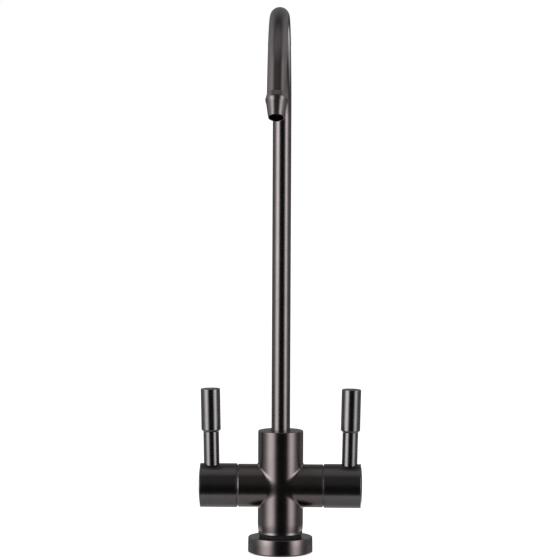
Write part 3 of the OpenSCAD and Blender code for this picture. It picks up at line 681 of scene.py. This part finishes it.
def math_node(tree, operation, *inputs):
    """One step of arithmetic on sockets and numbers; gives its output socket."""
    node = tree.nodes.new("ShaderNodeMath")
    node.operation = operation
    for socket, value in zip(node.inputs, inputs):
        if isinstance(value, (int, float)):
            socket.default_value = value
        else:
            tree.links.new(value, socket)
    return node.outputs[0]


def curve(tree, value, stops):
    """Piecewise level over a value; a stop is (value, level) and levels stay within 0 to 1."""
    low, high = stops[0][0], stops[-1][0]
    place = tree.nodes.new("ShaderNodeMapRange")
    place.inputs["From Min"].default_value = low
    place.inputs["From Max"].default_value = high
    tree.links.new(value, place.inputs["Value"])
    levels = [((at - low) / (high - low), (level,) * 3) for at, level in stops]
    return ramp(tree, place, levels).outputs["Color"]


# How bright the strips, the side panels and the light from behind are, where 1 is white
STRIP_LIGHT, PANEL_LIGHT, REAR_LIGHT = 5.2, 1.25, 1.6
world = bpy.data.worlds.new("studio")
bpy.context.scene.world = world
world.use_nodes = True
tree = world.node_tree
tree.nodes.clear()
coords = tree.nodes.new("ShaderNodeTexCoord")
axes = tree.nodes.new("ShaderNodeSeparateXYZ")
link(tree, coords, "Generated", axes, "Vector")
sideways, behind, height = axes.outputs
# Azimuth is in degrees to the right of straight in front, and height is the sine of the elevation
before = math_node(tree, "MULTIPLY", behind, -1.0)
bearing = math_node(tree, "ARCTAN2", sideways, before)
azimuth = math_node(tree, "MULTIPLY", bearing, 180 / math.pi)
# The right strip leans outwards about half way up, and stands straight again at its top
lean = curve(tree, height, [(-1, 1), (0.15, 1), (0.5, 0.88), (0.6, 1), (1, 1)])
leaning = math_node(tree, "MINIMUM", azimuth, math_node(tree, "MULTIPLY", azimuth, lean))
# Two tall soft strips in front, one on each side
strips = math_node(
    tree, "MULTIPLY",
    curve(tree, leaning, [
        (-180, 0), (-98, 0), (-90, 0.03), (-78, 0.18), (-68, 0.52), (-58, 0.84), (-50, 1.0),
        (-42, 0.95), (-34, 0.64), (-26, 0.18), (-18, 0), (32, 0), (40, 0.16), (46, 0.48),
        (53, 0.82), (60, 0.88), (67, 0.74), (76, 0.35), (86, 0.08), (95, 0), (180, 0),
    ]),
    curve(tree, height, [
        (-1, 0), (-0.7, 0.1), (-0.35, 0.3), (-0.16, 0.45), (-0.145, 0.47), (-0.122, 0.61),
        (-0.10, 0.84), (-0.05, 1), (0.16, 1), (0.43, 0.58), (0.55, 0.78), (0.6, 0.5),
        (0.64, 0.06), (0.69, 0), (1, 0),
    ]),
)
# Two wide dim panels beside the faucet, brighter above the table
panels = math_node(
    tree, "MULTIPLY",
    curve(tree, azimuth, [
        (-180, 0.04), (-160, 0.05), (-145, 0.25), (-125, 0.65), (-100, 0.8), (-78, 0.85),
        (-62, 0.7), (-45, 0.1), (-38, 0), (70, 0), (80, 0.32), (92, 0.6), (125, 0.55),
        (145, 0.25), (160, 0.05), (180, 0.04),
    ]),
    curve(tree, height, [
        (-1, 0.1), (-0.3, 0.2), (-0.16, 0.26), (-0.05, 0.45), (0.1, 0.7), (0.3, 0.9), (0.45, 1),
        (0.7, 1), (0.8, 0.5), (0.88, 0.15), (1, 0.1),
    ]),
)
# Light off the table behind, to both sides, which shows the back of the faucet
rear = math_node(
    tree, "MULTIPLY",
    curve(tree, azimuth, [
        (-180, 0), (-172, 0), (-158, 0.9), (-140, 1), (-120, 0.6), (-105, 0), (105, 0),
        (120, 0.6), (140, 1), (158, 0.9), (172, 0), (180, 0),
    ]),
    curve(tree, height, [
        (-1, 0), (-0.75, 0), (-0.6, 0.8), (-0.3, 1), (-0.24, 0.8), (-0.18, 0), (1, 0),
    ]),
)
# What lies round the faucet from below to above: a pale table, a dark room and a ceiling
upright = math_node(
    tree, "MULTIPLY",
    curve(tree, height, [
        (-1, 0.54), (-0.97, 0.60), (-0.9, 0.68), (-0.8, 0.74), (-0.71, 0.70), (-0.67, 0.10),
        (-0.6, 0.04), (-0.3, 0.02), (0, 0.02), (0.17, 0.06), (0.42, 0.10), (0.67, 0.12),
        (0.8, 0.12), (0.86, 0.19), (0.93, 0.42), (1, 0.48),
    ]),
    curve(tree, behind, [(-1, 1), (0.1, 1), (0.5, 0.62), (1, 0.62)]),
)
# The pale wall far behind, over the table's edge, and the table's far part
wall = math_node(
    tree, "MULTIPLY",
    curve(tree, behind, [(-1, 0), (0.35, 0), (0.75, 0.2), (1, 0.2)]),
    curve(tree, height, [(-1, 0), (0, 0), (0.12, 1), (1, 1)]),
)
far_table = math_node(
    tree, "MULTIPLY",
    curve(tree, behind, [(-1, 0), (0.3, 0), (0.7, 1), (1, 1)]),
    curve(tree, height, [
        (-1, 0), (-0.9, 0.1), (-0.7, 0.28), (-0.4, 0.25), (-0.2, 0.1), (-0.05, 0), (1, 0),
    ]),
)
level = math_node(tree, "MAXIMUM", upright, wall)
level = math_node(tree, "ADD", level, far_table)
level = math_node(tree, "MULTIPLY_ADD", rear, REAR_LIGHT, level)
level = math_node(tree, "MULTIPLY_ADD", panels, PANEL_LIGHT, level)
level = math_node(tree, "MULTIPLY_ADD", strips, STRIP_LIGHT, level)
# The camera sees white, also through clear pieces; all else sees the studio
path = tree.nodes.new("ShaderNodeLightPath")
open_view = math_node(
    tree, "MAXIMUM", path.outputs["Is Camera Ray"], path.outputs["Is Transmission Ray"],
)
studio = tree.nodes.new("ShaderNodeBackground")
studio.inputs["Color"].default_value = (1, 1, 1, 1)
tree.links.new(level, studio.inputs["Strength"])
white = tree.nodes.new("ShaderNodeBackground")
white.inputs["Color"].default_value = (1, 1, 1, 1)
seen = tree.nodes.new("ShaderNodeMixShader")
out = tree.nodes.new("ShaderNodeOutputWorld")
tree.links.new(open_view, seen.inputs["Fac"])
link(tree, studio, 0, seen, 1)
link(tree, white, 0, seen, 2)
link(tree, seen, 0, out, "Surface")


# Camera, in metres, radians and the photograph's pixels

CAMERA_DISTANCE, CAMERA_HEIGHT = 1.940, 0.2985
CAMERA_PITCH, CAMERA_AZIMUTH = math.radians(4.33), math.radians(1.5)
CAMERA_ROLL = math.radians(0.25)
FOCAL_PIXELS, FRAME_PIXELS, AXIS_OFFSET = 3529.0, 560.0, 1.42
SENSOR_MM = 36.0
camera = bpy.data.cameras.new("photo_camera")
camera.sensor_width = SENSOR_MM
camera.lens = FOCAL_PIXELS / FRAME_PIXELS * SENSOR_MM
camera.clip_start, camera.clip_end = 0.05, 200.0
eye = bpy.data.objects.new("photo_camera", camera)
bpy.context.scene.collection.objects.link(eye)
turn = CAMERA_AZIMUTH + math.atan(AXIS_OFFSET / FOCAL_PIXELS)
eye.matrix_world = (
    Matrix.Translation((
        CAMERA_DISTANCE * math.sin(CAMERA_AZIMUTH),
        -CAMERA_DISTANCE * math.cos(CAMERA_AZIMUTH),
        CAMERA_HEIGHT,
    ))
    @ Matrix.Rotation(turn, 4, "Z")
    @ Matrix.Rotation(math.pi / 2 - CAMERA_PITCH, 4, "X")
    @ Matrix.Rotation(CAMERA_ROLL, 4, "Z")
)
bpy.context.scene.camera = eye
bpy.context.scene.view_settings.view_transform = "Standard"
